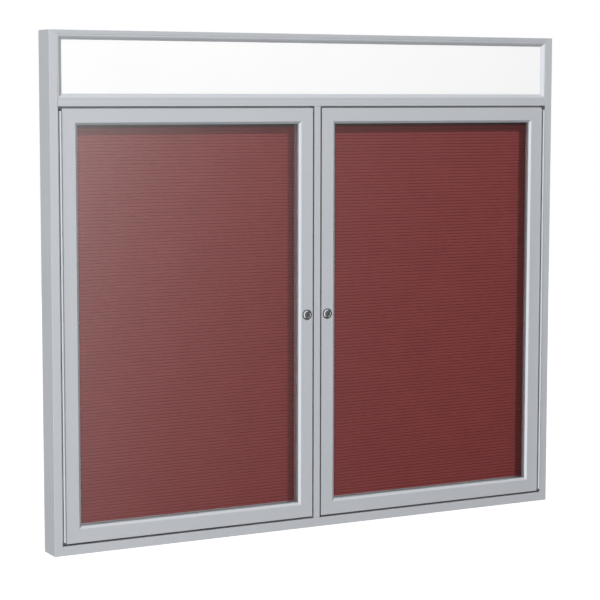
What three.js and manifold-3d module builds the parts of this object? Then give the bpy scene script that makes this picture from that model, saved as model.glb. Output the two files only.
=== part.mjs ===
// A lockable wall notice board: a shallow aluminium cabinet with a plain white header panel above two
// hinged, glazed doors. Each door closes over a bay with a grooved letter panel and has its own cam lock.
//
// Millimetres, +Z up. The front faces -Y and the wall is the plane y = 0. The origin is the middle of the
// back. Inside the file a place is written as [across, depth, height]: across runs from the side edge of
// the cabinet towards its middle, depth runs from the front faces towards the wall, and height runs up
// from the bottom edge. Left-hand and right-hand pieces are the same shapes, mirrored.

import * as THREE from "three";
import { mergeVertices } from "three/addons/utils/BufferGeometryUtils.js";
import Module from "manifold-3d";

const wasm = await Module();
wasm.setup();

// Driving dimensions of the cabinet

const boardWidth = 1219.2;
const boardHeight = 1066.8;
const boardDepth = 57.15;
const seatGap = 0.3; // air left between two pieces that touch
const overrun = 5; // how far a cutting tool runs past what it cuts
const weldDistance = 0.0001; // points nearer than this are one point

const frameWall = 1.8; // wall of the cabinet extrusions
const frameFace = 17.5; // front face of the stiles
const bottomFace = 19.5; // front face of the bottom rail
const topFace = 8.8; // front face of the top rail
const stopLip = 14.5; // door stop that stands in from the frame
const rebateReach = 16; // flange that the back sheet is fixed to
const sheetThickness = 1.2; // back sheet

// Header

const headerHeight = 152.4; // top edge of the cabinet to the lower edge of the transom
const transomFace = 15.2;
const beadLand = 1.8; // flat outer edge of the bead round the header panel
const beadSlope = 8.2; // width of its sloping part
const beadDrop = 4.4; // how far the bead slopes in
const beadLip = 0.8;
const headerPanelThickness = 3;
const headerPanelSideCover = 7; // how far the panel runs behind the side beads
const headerLedge = 7; // flange behind the header panel

// Mullion

const mullionFace = 15;
const mullionGap = 3.5; // gap between the mullion and each door
const mullionStopLip = 7;
const spineWidth = 8;
const spineWall = 1.5;
const dividerWidth = 74; // channel over the joint of the letter panels
const dividerWall = 1.5;
const dividerShare = 0.17; // front of the channel, as a share of the way from the cam screw to the panels

// Doors

const doorThickness = 16.5;
const doorGap = 4.2; // gap above and below a door
const doorWall = 1.6;
const doorFace = 28.4; // flat front of a door member
const doorBevel = 5.2; // width of the bevel round the pane
const doorBevelDrop = 3.4;
const paneFront = 7; // front of the pane behind the door face
const paneThickness = 3;
const paneCover = 6; // how far the pane runs into its gasket
const gasketCover = 8; // how far the gasket runs into its groove
const gasketWall = 1;
const sealThickness = 1.4;
const sealWidth = 2.6;

// Continuous hinges

const barrelRadius = 2.5;
const barrelClearance = 1.85; // gap on each side of the barrel
const barrelProud = 4.9; // how far the barrel stands in front of the faces
const leafThickness = 1;
const leafInset = 1; // leaf edge to the back of the door
const pinRadius = 1.2;
const pinBoreRadius = 1.6;
const hingeEndGap = 9; // door end to hinge end
const knuckleGap = 0.4;
const knuckleCount = 18;
const barrelSides = 12;

// Cam locks

const lockInset = 13.9; // lock edge of a door to the axis of its lock
const lockHeadRadius = 11;
const lockHeadProud = 3.4;
const lockHeadChamfer = 1.4;
const lockBarrelRadius = 8;
const lockBarrelFlats = 13.6; // across the two flats that stop the barrel from turning
const lockBarrelClearance = 0.3;
const plugRadius = 5.6;
const plugClearance = 0.35;
const plugSunk = 0.5; // plug face behind the face of the lock head
const keySlotLength = 7.4;
const keySlotWidth = 1.8;
const keySlotDepth = 4;
const tailSide = 5.6; // square tail of the plug
const camHoleSide = 6.2;
const camWidth = 14;
const camThickness = 2;
const camClearance = 0.7; // cam to the back of the door stop
const camTipClearance = 1.9; // cam tip to the mullion's spine
const lockNutFlats = 19;
const lockNutThickness = 3;
const camScrewRadius = 4.5;
const camScrewHead = 2.6;
const lockSides = 24;

// Letter panels

const letterFaceThickness = 6;
const coreThickness = 11;
const panelClearance = 2; // panel edge to the edge of the door stop
const panelJoint = 2; // gap between the two panels
const groovePitch = 6.75;
const grooveMouth = 2.2;
const grooveFloor = 1.2;
const grooveDepth = 2.6;
const fixingInset = 14; // panel corner to the middle of a wall screw hole
const fixingRadius = 3.25;
const fixingSides = 12;

// Corner keys

const keyLeg = 46;
const keyThickness = 2.5;
const keyFront = 3; // cabinet key behind the front faces
const keyDepth = 13;
const doorKeyLeg = 62;
const doorKeyClearance = 0.5;

// Places worked out from the sizes above

const middle = boardWidth / 2;
const stopFront = doorThickness + seatGap + sealThickness + seatGap;
const stopBack = stopFront + frameWall;
const bottomMitre = bottomFace / frameFace;
const stopReach = frameFace + stopLip;
const bottomStopReach = stopReach * bottomMitre;
const sheetFront = boardDepth - sheetThickness;
const rebateBack = sheetFront - seatGap;
const rebateFront = rebateBack - frameWall;
const beadWidth = beadLand + beadSlope;
const headerPanelFront = beadDrop + beadLip + seatGap;
const ledgeFront = headerPanelFront + headerPanelThickness + seatGap;
const ledgeBack = ledgeFront + frameWall;
const transomBottom = boardHeight - headerHeight;
const transomTop = transomBottom + transomFace;
const openingTop = transomBottom - stopLip; // lower edge of the transom's door stop

const hingeGap = 2 * (barrelRadius + barrelClearance);
const doorOuter = frameFace + hingeGap;
const doorInner = middle - mullionFace / 2 - mullionGap;
const doorBottom = bottomFace + doorGap;
const doorTop = transomBottom - doorGap;
const memberWidth = doorFace + doorBevel;
const gasketFront = paneFront - seatGap - gasketWall;
const gasketBack = paneFront + paneThickness + seatGap + gasketWall;
const gasketInset = memberWidth - gasketCover; // outer edge of a door to its gasket
const grooveFloorAcross = gasketInset - seatGap;
const axisAcross = frameFace + hingeGap / 2;
const axisDepth = barrelRadius - barrelProud;

const lockAcross = doorInner - lockInset;
const lockHeight = (doorBottom + doorTop) / 2;
const camFront = stopBack + camClearance;
const camBack = camFront + camThickness;
const camScrewBack = camBack + seatGap + camScrewHead;
const camReach = middle - spineWidth / 2 - camTipClearance - lockAcross;

const coreBack = sheetFront - seatGap;
const coreFront = coreBack - coreThickness;
const letterBack = coreFront - seatGap;
const letterFront = letterBack - letterFaceThickness;
const dividerBack = letterFront - seatGap;
const dividerFront = camScrewBack + dividerShare * (dividerBack - camScrewBack);
const panelOuter = stopReach + panelClearance;
const panelInner = middle - panelJoint / 2;
const panelBottom = bottomStopReach + panelClearance;
const panelTop = openingTop - panelClearance;

// Finishes

const finish = (color, roughness, metalness) =>
  new THREE.MeshStandardMaterial({ color, roughness, metalness });
const finishes = {
  frame: () => finish(0xbcbfc4, 0.42, 0.55),
  panel: () => finish(0xfafafa, 0.5, 0),
  letter: () => finish(0x7c3a3c, 0.95, 0),
  core: () => finish(0x8a6a48, 0.9, 0),
  sheet: () => finish(0xa9adb0, 0.45, 0.7),
  pane: () => {
    const clear = finish(0xf2f6f8, 0.05, 0);
    clear.transparent = true;
    clear.opacity = 0.18;
    return clear;
  },
  steel: () => finish(0x9da1a5, 0.35, 0.85),
  nickel: () => finish(0xa6a7a9, 0.22, 0.9),
  seal: () => finish(0x26272a, 0.9, 0),
};

// Solids from three.js geometry: cutting, joining and mirroring

function bare(geometry) {
  const flat = new THREE.BufferGeometry();
  flat.setAttribute("position", geometry.getAttribute("position").clone());
  if (geometry.index) flat.setIndex(geometry.index.clone());
  return flat;
}

function toSolid(geometry) {
  const merged = mergeVertices(bare(geometry), weldDistance);
  return new wasm.Manifold(
    new wasm.Mesh({
      numProp: 3,
      vertProperties: new Float32Array(merged.getAttribute("position").array),
      triVerts: new Uint32Array(merged.index.array),
    }),
  );
}

function toGeometry(solid) {
  const mesh = solid.getMesh();
  const geometry = new THREE.BufferGeometry();
  const places = new Float32Array(mesh.numVert * 3);
  for (let i = 0; i < mesh.numVert; i += 1) {
    places.set(mesh.vertProperties.subarray(i * mesh.numProp, i * mesh.numProp + 3), i * 3);
  }
  geometry.setAttribute("position", new THREE.BufferAttribute(places, 3));
  geometry.setIndex(new THREE.BufferAttribute(new Uint32Array(mesh.triVerts), 1));
  return geometry;
}

const cut = (geometry, ...tools) =>
  toGeometry(tools.reduce((left, tool) => left.subtract(toSolid(tool)), toSolid(geometry)));

const join = (geometry, ...others) =>
  toGeometry(others.reduce((whole, other) => whole.add(toSolid(other)), toSolid(geometry)));

// Applies a matrix, and turns the faces back outwards where the matrix mirrors them.
function place(geometry, matrix) {
  const placed = bare(geometry).applyMatrix4(matrix);
  if (matrix.determinant() > 0) return placed;
  const loose = placed.index ? placed.toNonIndexed() : placed;
  const at = loose.getAttribute("position");
  for (let i = 0; i < at.count; i += 3) {
    const second = new THREE.Vector3().fromBufferAttribute(at, i + 1);
    const third = new THREE.Vector3().fromBufferAttribute(at, i + 2);
    at.setXYZ(i + 1, third.x, third.y, third.z);
    at.setXYZ(i + 2, second.x, second.y, second.z);
  }
  return loose;
}

const axes = (x, y, z) =>
  new THREE.Matrix4().makeBasis(new THREE.Vector3(...x), new THREE.Vector3(...y), new THREE.Vector3(...z));

// Bars and plates

function shapeOf(outline, holes) {
  const shape = new THREE.Shape(outline.map(([a, b]) => new THREE.Vector2(a, b)));
  for (const hole of holes) {
    shape.holes.push(new THREE.Path(hole.map(([a, b]) => new THREE.Vector2(a, b))));
  }
  return shape;
}

// A profile pushed along a straight line. startLean and endLean draw an end in by that much for each
// millimetre inwards on the profile, which makes a mitre.
function extrude({ outline, holes = [] }, length, startLean, endLean) {
  const geometry = new THREE.ExtrudeGeometry(shapeOf(outline, holes), {
    depth: length,
    bevelEnabled: false,
  });
  const at = geometry.getAttribute("position");
  for (let i = 0; i < at.count; i += 1) {
    const inward = at.getX(i);
    const along = at.getZ(i);
    at.setZ(i, along < length / 2 ? along + inward * startLean : along - inward * endLean);
  }
  return geometry;
}

// An upright bar: the profile's first number runs across from edgeAcross, towards the middle.
function upright(profile, edgeAcross, bottom, top, bottomLean = 0, topLean = 0) {
  const bar = extrude(profile, top - bottom, bottomLean, topLean);
  return place(bar, new THREE.Matrix4().makeTranslation(edgeAcross, 0, bottom));
}

// The same, with the profile's first number running back towards the side edge.
function uprightFacingOut(profile, edgeAcross, bottom, top, bottomLean = 0, topLean = 0) {
  const bar = extrude(profile, top - bottom, bottomLean, topLean);
  const mirrored = place(bar, new THREE.Matrix4().makeScale(-1, 1, 1));
  return place(mirrored, new THREE.Matrix4().makeTranslation(edgeAcross, 0, bottom));
}

// A level bar: the profile's first number runs up from edgeHeight, or down with rise = -1.
function level(profile, edgeHeight, rise, start, end, startLean = 0, endLean = 0) {
  const bar = extrude(profile, end - start, startLean, endLean);
  const laid = place(bar, axes([0, 0, rise], [0, 1, 0], [1, 0, 0]));
  return place(laid, new THREE.Matrix4().makeTranslation(start, 0, edgeHeight));
}

// A plate that faces the front: its outline is written as [across, height].
function plate(outline, holes, front, back) {
  const slab = extrude({ outline, holes }, back - front, 0, 0);
  const raised = place(slab, axes([1, 0, 0], [0, 0, 1], [0, 1, 0]));
  return place(raised, new THREE.Matrix4().makeTranslation(0, front, 0));
}

const rectangle = (a0, b0, a1, b1) => [
  [a0, b0],
  [a1, b0],
  [a1, b1],
  [a0, b1],
];

const circle = (a, b, radius, corners, turn = 0) =>
  Array.from({ length: corners }, (_, i) => {
    const around = (2 * Math.PI * (i + turn)) / corners;
    return [a + radius * Math.cos(around), b + radius * Math.sin(around)];
  });

const block = (across0, across1, front, back, bottom, top) =>
  plate(rectangle(across0, bottom, across1, top), [], front, back);

// A turned piece on an axis from the front to the back: its profile is written as [radius, depth].
function turned(profile, corners) {
  const points = [...profile, profile[0]].map(([radius, depth]) => new THREE.Vector2(radius, -depth));
  const lathe = new THREE.LatheGeometry(points.reverse(), corners);
  return place(lathe, axes([1, 0, 0], [0, -1, 0], [0, 0, -1]));
}

// Assembly groups and named pieces

const board = new THREE.Group();
const cabinet = new THREE.Group();
cabinet.position.set(0, -boardDepth, -boardHeight / 2);
board.add(cabinet);

// Puts a piece into a group. datum is the group's origin as [across, depth, height], and hand is 1 on
// the left and -1 on the right.
function addPiece(group, name, geometry, makeFinish, hand = 1, datum = [middle, 0, 0]) {
  const [across, depth, height] = datum;
  const shift = new THREE.Matrix4().makeTranslation(-across, -depth, -height);
  const mirror = new THREE.Matrix4().makeScale(hand, 1, 1);
  const shaped = place(place(geometry, shift), mirror);
  const faceted = shaped.index ? shaped.toNonIndexed() : shaped;
  faceted.computeVertexNormals();
  const mesh = new THREE.Mesh(faceted, makeFinish());
  mesh.name = name;
  group.add(mesh);
  return mesh;
}

const sides = [
  ["left", 1],
  ["right", -1],
];

// Cabinet frame

const rearFlange = [
  [frameWall, rebateFront],
  [rebateReach, rebateFront],
  [rebateReach, rebateBack],
  [frameWall, rebateBack],
  [frameWall, boardDepth],
  [0, boardDepth],
];

const frameProfile = (face, reach) => ({
  outline: [
    [0, 0],
    [face, 0],
    [face, stopFront],
    [reach, stopFront],
    [reach, stopBack],
    [face - frameWall, stopBack],
    [face - frameWall, frameWall],
    [frameWall, frameWall],
    ...rearFlange,
  ],
});

const topRailProfile = {
  outline: [
    [0, 0],
    [topFace, 0],
    [topFace, ledgeFront],
    [topFace + headerLedge, ledgeFront],
    [topFace + headerLedge, ledgeBack],
    [topFace - frameWall, ledgeBack],
    [topFace - frameWall, frameWall],
    [frameWall, frameWall],
    ...rearFlange,
  ],
};

// The corners are mitred between stiles and rails of other widths, so no joint is at 45 degrees.
const topMitre = topFace / frameFace;
const mitreGap = seatGap / 2;

function addFrame() {
  for (const [side, hand] of sides) {
    const stile = upright(
      frameProfile(frameFace, stopReach),
      0,
      mitreGap,
      boardHeight - mitreGap,
      bottomMitre,
      topMitre,
    );
    addPiece(cabinet, `${side}_stile`, stile, finishes.frame, hand);
  }
  const bottomLean = 1 / bottomMitre;
  const bottomRail = level(
    frameProfile(bottomFace, bottomStopReach),
    0,
    1,
    mitreGap,
    boardWidth - mitreGap,
    bottomLean,
    bottomLean,
  );
  addPiece(cabinet, "bottom_rail", bottomRail, finishes.frame);
  const topLean = 1 / topMitre;
  const topRail = level(
    topRailProfile,
    boardHeight,
    -1,
    mitreGap,
    boardWidth - mitreGap,
    topLean,
    topLean,
  );
  addPiece(cabinet, "top_rail", topRail, finishes.frame);
}

// The transom's face closes the header from below, its lip stops the doors, its ledge backs the header
// panel and its web runs to the back sheet.
function addTransom() {
  const profile = {
    outline: [
      [0, 0],
      [transomFace, 0],
      [transomFace, stopFront],
      [transomFace + stopLip, stopFront],
      [transomFace + stopLip, stopBack],
      [transomFace - frameWall, stopBack],
      [transomFace - frameWall, frameWall],
      [frameWall, frameWall],
      [frameWall, rebateFront],
      [0, rebateFront],
      [0, ledgeBack],
      [-headerLedge, ledgeBack],
      [-headerLedge, ledgeFront],
      [0, ledgeFront],
    ],
  };
  const start = frameFace + seatGap;
  const bar = level(profile, transomTop, -1, start, boardWidth - start);
  const notchEnd = stopReach + seatGap;
  const notchFront = stopFront - seatGap;
  const notch = (from, to) =>
    block(from, to, notchFront, boardDepth, openingTop - overrun, transomTop + overrun);
  const notched = cut(bar, notch(0, notchEnd), notch(boardWidth - notchEnd, boardWidth));
  addPiece(cabinet, "transom_rail", notched, finishes.frame);
}

function addMullion() {
  const half = mullionFace / 2;
  const lip = half + mullionStopLip;
  const profile = {
    outline: [
      [-half, 0],
      [half, 0],
      [half, stopFront],
      [lip, stopFront],
      [lip, stopBack],
      [-lip, stopBack],
      [-lip, stopFront],
      [-half, stopFront],
    ],
    holes: [rectangle(-half + frameWall, frameWall, half - frameWall, stopFront)],
  };
  const bottom = bottomFace + seatGap;
  const top = transomBottom - seatGap;
  const bar = upright(profile, middle, bottom, top);
  const notchFront = stopFront - seatGap;
  const notch = (from, to) =>
    block(middle - lip - overrun, middle + lip + overrun, notchFront, stopBack + overrun, from, to);
  const notched = cut(
    bar,
    notch(bottom - overrun, bottomStopReach + seatGap),
    notch(openingTop - seatGap, top + overrun),
  );
  addPiece(cabinet, "centre_mullion", notched, finishes.frame);

  const spineFront = stopBack + seatGap;
  const spineBack = dividerFront - seatGap;
  const spineHalf = spineWidth / 2;
  const spine = upright(
    {
      outline: rectangle(-spineHalf, spineFront, spineHalf, spineBack),
      holes: [
        rectangle(
          -spineHalf + spineWall,
          spineFront + spineWall,
          spineHalf - spineWall,
          spineBack - spineWall,
        ),
      ],
    },
    middle,
    frameWall + seatGap,
    transomTop - frameWall - seatGap,
  );
  addPiece(cabinet, "mullion_spine", spine, finishes.frame);

  // A shallow channel whose legs stand on the letter faces
  const side = dividerWidth / 2;
  const divider = upright(
    {
      outline: [
        [-side, dividerFront],
        [side, dividerFront],
        [side, dividerBack],
        [side - dividerWall, dividerBack],
        [side - dividerWall, dividerFront + dividerWall],
        [-side + dividerWall, dividerFront + dividerWall],
        [-side + dividerWall, dividerBack],
        [-side, dividerBack],
      ],
    },
    middle,
    panelBottom,
    panelTop,
  );
  addPiece(cabinet, "divider_strip", divider, finishes.frame);
}

// Four sloping beads, mitred at 45 degrees, in front of the header panel
function addHeader() {
  const profile = {
    outline: [
      [0, 0],
      [beadLand, 0],
      [beadWidth, beadDrop],
      [beadWidth, beadDrop + beadLip],
      [0, beadDrop + beadLip],
    ],
  };
  const outer = frameFace + seatGap;
  const bottom = transomTop + seatGap;
  const top = boardHeight - topFace - seatGap;
  const topBead = level(profile, top, -1, outer + mitreGap, boardWidth - outer - mitreGap, 1, 1);
  const bottomBead = level(profile, bottom, 1, outer + mitreGap, boardWidth - outer - mitreGap, 1, 1);
  addPiece(cabinet, "header_bead_top", topBead, finishes.frame);
  addPiece(cabinet, "header_bead_bottom", bottomBead, finishes.frame);
  for (const [side, hand] of sides) {
    const bead = upright(profile, outer, bottom + mitreGap, top - mitreGap, 1, 1);
    addPiece(cabinet, `header_bead_${side}`, bead, finishes.frame, hand);
  }
  const panelSide = outer + beadWidth - headerPanelSideCover;
  const panel = block(
    panelSide,
    boardWidth - panelSide,
    headerPanelFront,
    headerPanelFront + headerPanelThickness,
    transomTop + seatGap,
    boardHeight - topFace - seatGap,
  );
  addPiece(cabinet, "header_panel", panel, finishes.panel);
}

// Back sheet and letter panels, with a wall screw hole through each outer corner

const fixingAcross = panelOuter + fixingInset;
const fixingHeights = [panelBottom + fixingInset, panelTop - fixingInset];
const fixingHoles = (across) =>
  fixingHeights.map((height) => circle(across, height, fixingRadius, fixingSides));

function addBack() {
  const edge = frameWall + seatGap;
  const sheet = plate(
    rectangle(edge, edge, boardWidth - edge, boardHeight - edge),
    [...fixingHoles(fixingAcross), ...fixingHoles(boardWidth - fixingAcross)],
    sheetFront,
    boardDepth,
  );
  addPiece(cabinet, "back_sheet", sheet, finishes.sheet);
}

// The face of a letter panel, seen from its end: a comb of level grooves that narrow towards their floor
function groovedProfile() {
  const height = panelTop - panelBottom;
  const count = Math.floor((height - groovePitch) / groovePitch);
  const first = (height - (count - 1) * groovePitch) / 2;
  const outline = [[0, letterFront]];
  for (let i = 0; i < count; i += 1) {
    const centre = first + i * groovePitch;
    outline.push([centre - grooveMouth / 2, letterFront]);
    outline.push([centre - grooveFloor / 2, letterFront + grooveDepth]);
    outline.push([centre + grooveFloor / 2, letterFront + grooveDepth]);
    outline.push([centre + grooveMouth / 2, letterFront]);
  }
  outline.push([height, letterFront], [height, letterBack], [0, letterBack]);
  return { outline };
}

function addLetterPanels() {
  const face = level(groovedProfile(), panelBottom, 1, panelOuter, panelInner);
  const drills = fixingHoles(fixingAcross).map((hole) =>
    plate(hole, [], letterFront - overrun, letterBack + overrun),
  );
  const drilledFace = cut(face, ...drills);
  const core = plate(
    rectangle(panelOuter, panelBottom, panelInner, panelTop),
    fixingHoles(fixingAcross),
    coreFront,
    coreBack,
  );
  for (const [side, hand] of sides) {
    addPiece(cabinet, `${side}_letter_face`, drilledFace, finishes.letter, hand);
    addPiece(cabinet, `${side}_panel_core`, core, finishes.core, hand);
  }
}

// Corner keys hold the mitred members together from inside

function angleOutline(near, leg, width) {
  return [
    [near, near],
    [near + leg, near],
    [near + leg, near + width],
    [near + width, near + width],
    [near + width, near + leg],
    [near, near + leg],
  ];
}

function addCabinetKeys() {
  const outline = angleOutline(frameWall + seatGap, keyLeg, keyThickness);
  const key = plate(outline, [], keyFront, keyFront + keyDepth);
  const upsideDown = new THREE.Matrix4()
    .makeTranslation(0, 0, boardHeight)
    .multiply(new THREE.Matrix4().makeScale(1, 1, -1));
  for (const [side, hand] of sides) {
    addPiece(cabinet, `${side}_bottom_corner_key`, key, finishes.steel, hand);
    addPiece(cabinet, `${side}_top_corner_key`, place(key, upsideDown), finishes.steel, hand);
  }
}

// A thin foam seal round each opening, on the front of the door stops
function addSeal(side, hand) {
  const inner = middle - mullionFace / 2 - mullionStopLip;
  const seal = plate(
    rectangle(
      stopReach - sealWidth,
      bottomStopReach - sealWidth,
      inner + sealWidth,
      openingTop + sealWidth,
    ),
    [rectangle(stopReach, bottomStopReach, inner, openingTop)],
    doorThickness + seatGap,
    stopFront - seatGap,
  );
  addPiece(cabinet, `${side}_door_seal`, seal, finishes.seal, hand);
}

// Continuous hinge: two leaves whose knuckles take turns along one pin

const hingeBottom = doorBottom + hingeEndGap;
const hingeTop = doorTop - hingeEndGap;
const knucklePitch = (hingeTop - hingeBottom) / knuckleCount;
const leafFront = axisDepth + barrelRadius + seatGap;
const leafBack = doorThickness - leafInset;

// A leaf lies between the planes nearFace, on the barrel's side, and farFace. Every second knuckle is its
// own: a ring on the hinge axis, with a tab that runs from the back of the ring into the leaf.
function leafGeometry(nearFace, farFace, firstKnuckle) {
  const slab = (innerFace, front, back, bottom, top) =>
    block(Math.min(innerFace, farFace), Math.max(innerFace, farFace), front, back, bottom, top);
  const leaf = slab(nearFace, leafFront, leafBack, hingeBottom, hingeTop);
  const ring = {
    outline: circle(axisAcross, axisDepth, barrelRadius, barrelSides),
    holes: [circle(axisAcross, axisDepth, pinBoreRadius, barrelSides)],
  };
  const tabFront = axisDepth + (pinBoreRadius + barrelRadius) / 2;
  const knuckles = [];
  for (let i = firstKnuckle; i < knuckleCount; i += 2) {
    const bottom = hingeBottom + i * knucklePitch + knuckleGap / 2;
    const top = bottom + knucklePitch - knuckleGap;
    const tab = slab(axisAcross, tabFront, leafFront + leafThickness, bottom, top);
    knuckles.push(upright(ring, 0, bottom, top), tab);
  }
  return join(leaf, ...knuckles);
}

function addFixedHinge(side, hand) {
  const far = frameFace + seatGap;
  const leaf = leafGeometry(far + leafThickness, far, 0);
  addPiece(cabinet, `${side}_hinge_frame_leaf`, leaf, finishes.steel, hand);
  const pin = upright(
    { outline: circle(axisAcross, axisDepth, pinRadius, barrelSides) },
    0,
    hingeBottom,
    hingeTop,
  );
  addPiece(cabinet, `${side}_hinge_pin`, pin, finishes.steel, hand);
}

// Doors

const doorProfile = {
  outline: [
    [0, 0],
    [doorFace, 0],
    [memberWidth, doorBevelDrop],
    [memberWidth, gasketFront - seatGap],
    [grooveFloorAcross, gasketFront - seatGap],
    [grooveFloorAcross, gasketBack + seatGap],
    [memberWidth, gasketBack + seatGap],
    [memberWidth, doorThickness],
    [0, doorThickness],
  ],
  holes: [rectangle(doorWall, doorWall, grooveFloorAcross - doorWall, doorThickness - doorWall)],
};

const doorDatum = [axisAcross, axisDepth, doorBottom];

// A circle on the lock's axis with an upright flat on each side
const flattened = (radius, flat) =>
  circle(lockAcross, lockHeight, radius, lockSides).map(([across, height]) => [
    Math.min(Math.max(across, lockAcross - flat), lockAcross + flat),
    height,
  ]);

function addDoorFrame(door, side, hand) {
  const add = (name, geometry) =>
    addPiece(door, `${side}_door_${name}`, geometry, finishes.frame, hand, doorDatum);
  const bottom = doorBottom + mitreGap;
  const top = doorTop - mitreGap;
  add("hinge_stile", upright(doorProfile, doorOuter, bottom, top, 1, 1));
  const lockStile = uprightFacingOut(doorProfile, doorInner, bottom, top, 1, 1);
  const lockHole = plate(
    flattened(lockBarrelRadius + lockBarrelClearance, lockBarrelFlats / 2 + lockBarrelClearance),
    [],
    -overrun,
    doorThickness + overrun,
  );
  add("lock_stile", cut(lockStile, lockHole));
  const start = doorOuter + mitreGap;
  const end = doorInner - mitreGap;
  add("bottom_rail", level(doorProfile, doorBottom, 1, start, end, 1, 1));
  add("top_rail", level(doorProfile, doorTop, -1, start, end, 1, 1));
}

function addPane(door, side, hand) {
  const inset = memberWidth - paneCover;
  const pane = block(
    doorOuter + inset,
    doorInner - inset,
    paneFront,
    paneFront + paneThickness,
    doorBottom + inset,
    doorTop - inset,
  );
  addPiece(door, `${side}_door_pane`, pane, finishes.pane, hand, doorDatum);

  // The gasket is a channel that wraps the edge of the pane.
  const ring = (edge, front, back) =>
    block(doorOuter + edge, doorInner - edge, front, back, doorBottom + edge, doorTop - edge);
  const gasket = cut(
    ring(gasketInset, gasketFront, gasketBack),
    ring(memberWidth - seatGap, gasketFront - overrun, gasketBack + overrun),
    ring(inset - seatGap, paneFront - seatGap, paneFront + paneThickness + seatGap),
  );
  addPiece(door, `${side}_door_gasket`, gasket, finishes.seal, hand, doorDatum);
}

function addDoorKeys(door, side, hand) {
  const near = doorWall + doorKeyClearance;
  const keyWidth = grooveFloorAcross - 2 * near;
  const key = plate(angleOutline(near, doorKeyLeg, keyWidth), [], near, doorThickness - near);
  const width = doorInner - doorOuter;
  const height = doorTop - doorBottom;
  const corners = [
    ["hinge_bottom", 1, 1],
    ["hinge_top", 1, -1],
    ["lock_bottom", -1, 1],
    ["lock_top", -1, -1],
  ];
  for (const [corner, turnAcross, turnUp] of corners) {
    const flip = new THREE.Matrix4().makeScale(turnAcross, 1, turnUp);
    const shift = new THREE.Matrix4().makeTranslation(
      doorOuter + (turnAcross < 0 ? width : 0),
      0,
      doorBottom + (turnUp < 0 ? height : 0),
    );
    const placed = place(place(key, flip), shift);
    addPiece(door, `${side}_door_${corner}_key`, placed, finishes.steel, hand, doorDatum);
  }
}

function addDoorLeaf(door, side, hand) {
  const far = doorOuter - seatGap;
  const leaf = leafGeometry(far - leafThickness, far, 1);
  addPiece(door, `${side}_hinge_door_leaf`, leaf, finishes.steel, hand, doorDatum);
}

// Cam lock: the body and its nut stay in the door, and the plug turns the cam behind the mullion's lip

const lockDatum = [lockAcross, 0, lockHeight];

function addLockBody(door, side, hand) {
  const bore = plugRadius + plugClearance;
  const body = turned(
    [
      [bore, -lockHeadProud],
      [lockHeadRadius - lockHeadChamfer, -lockHeadProud],
      [lockHeadRadius, -lockHeadProud + lockHeadChamfer],
      [lockHeadRadius, -seatGap],
      [lockBarrelRadius, -seatGap],
      [lockBarrelRadius, camFront - seatGap],
      [bore, camFront - seatGap],
    ],
    lockSides,
  );
  const [across, depth, height] = lockDatum;
  const shift = new THREE.Matrix4().makeTranslation(across, depth, height);
  const beside = (from, to) =>
    block(from, to, -seatGap, camFront + overrun, height - lockHeadRadius, height + lockHeadRadius);
  const flat = lockBarrelFlats / 2;
  const flattedBody = cut(
    place(body, shift),
    beside(across - lockHeadRadius, across - flat),
    beside(across + flat, across + lockHeadRadius),
  );
  addPiece(door, `${side}_lock_body`, flattedBody, finishes.nickel, hand, doorDatum);

  const nutRadius = lockNutFlats / 2 / Math.cos(Math.PI / 6);
  const nutFront = doorThickness + seatGap;
  const nut = plate(
    circle(across, height, nutRadius, 6, 0.5),
    [circle(across, height, lockBarrelRadius + lockBarrelClearance, lockSides)],
    nutFront,
    nutFront + lockNutThickness,
  );
  addPiece(door, `${side}_lock_nut`, nut, finishes.nickel, hand, doorDatum);
}

function addLockTurningPieces(lock, side, hand) {
  const [across, depth, height] = lockDatum;
  const plugFront = -lockHeadProud + plugSunk;
  const barrel = turned(
    [
      [0, plugFront],
      [plugRadius, plugFront],
      [plugRadius, camFront - seatGap],
      [0, camFront - seatGap],
    ],
    lockSides,
  );
  const shift = new THREE.Matrix4().makeTranslation(across, depth, height);
  const tail = block(
    across - tailSide / 2,
    across + tailSide / 2,
    camFront - tailSide,
    camBack,
    height - tailSide / 2,
    height + tailSide / 2,
  );
  const slot = block(
    across - keySlotLength / 2,
    across + keySlotLength / 2,
    plugFront - overrun,
    plugFront + keySlotDepth,
    height - keySlotWidth / 2,
    height + keySlotWidth / 2,
  );
  const plug = cut(join(place(barrel, shift), tail), slot);
  addPiece(lock, `${side}_lock_plug`, plug, finishes.nickel, hand, lockDatum);

  const half = camWidth / 2;
  const tip = [
    [across + half, height],
    [across + half, height - camReach + half],
    [across + half / 2, height - camReach],
    [across - half / 2, height - camReach],
    [across - half, height - camReach + half],
    [across - half, height],
  ];
  const crown = circle(across, height, half, lockSides)
    .slice(lockSides / 2 + 1)
    .map(([a, b]) => [2 * across - a, 2 * height - b]);
  const hole = camHoleSide / 2;
  const cam = plate(
    [...tip, ...crown.reverse()],
    [rectangle(across - hole, height - hole, across + hole, height + hole)],
    camFront,
    camBack,
  );
  addPiece(lock, `${side}_lock_cam`, cam, finishes.steel, hand, lockDatum);

  const screw = turned(
    [
      [0, camBack + seatGap],
      [camScrewRadius, camBack + seatGap],
      [camScrewRadius, camBack + seatGap + camScrewHead / 2],
      [camScrewRadius / 2, camScrewBack],
      [0, camScrewBack],
    ],
    barrelSides,
  );
  addPiece(lock, `${side}_lock_cam_screw`, place(screw, shift), finishes.steel, hand, lockDatum);
}

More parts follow.
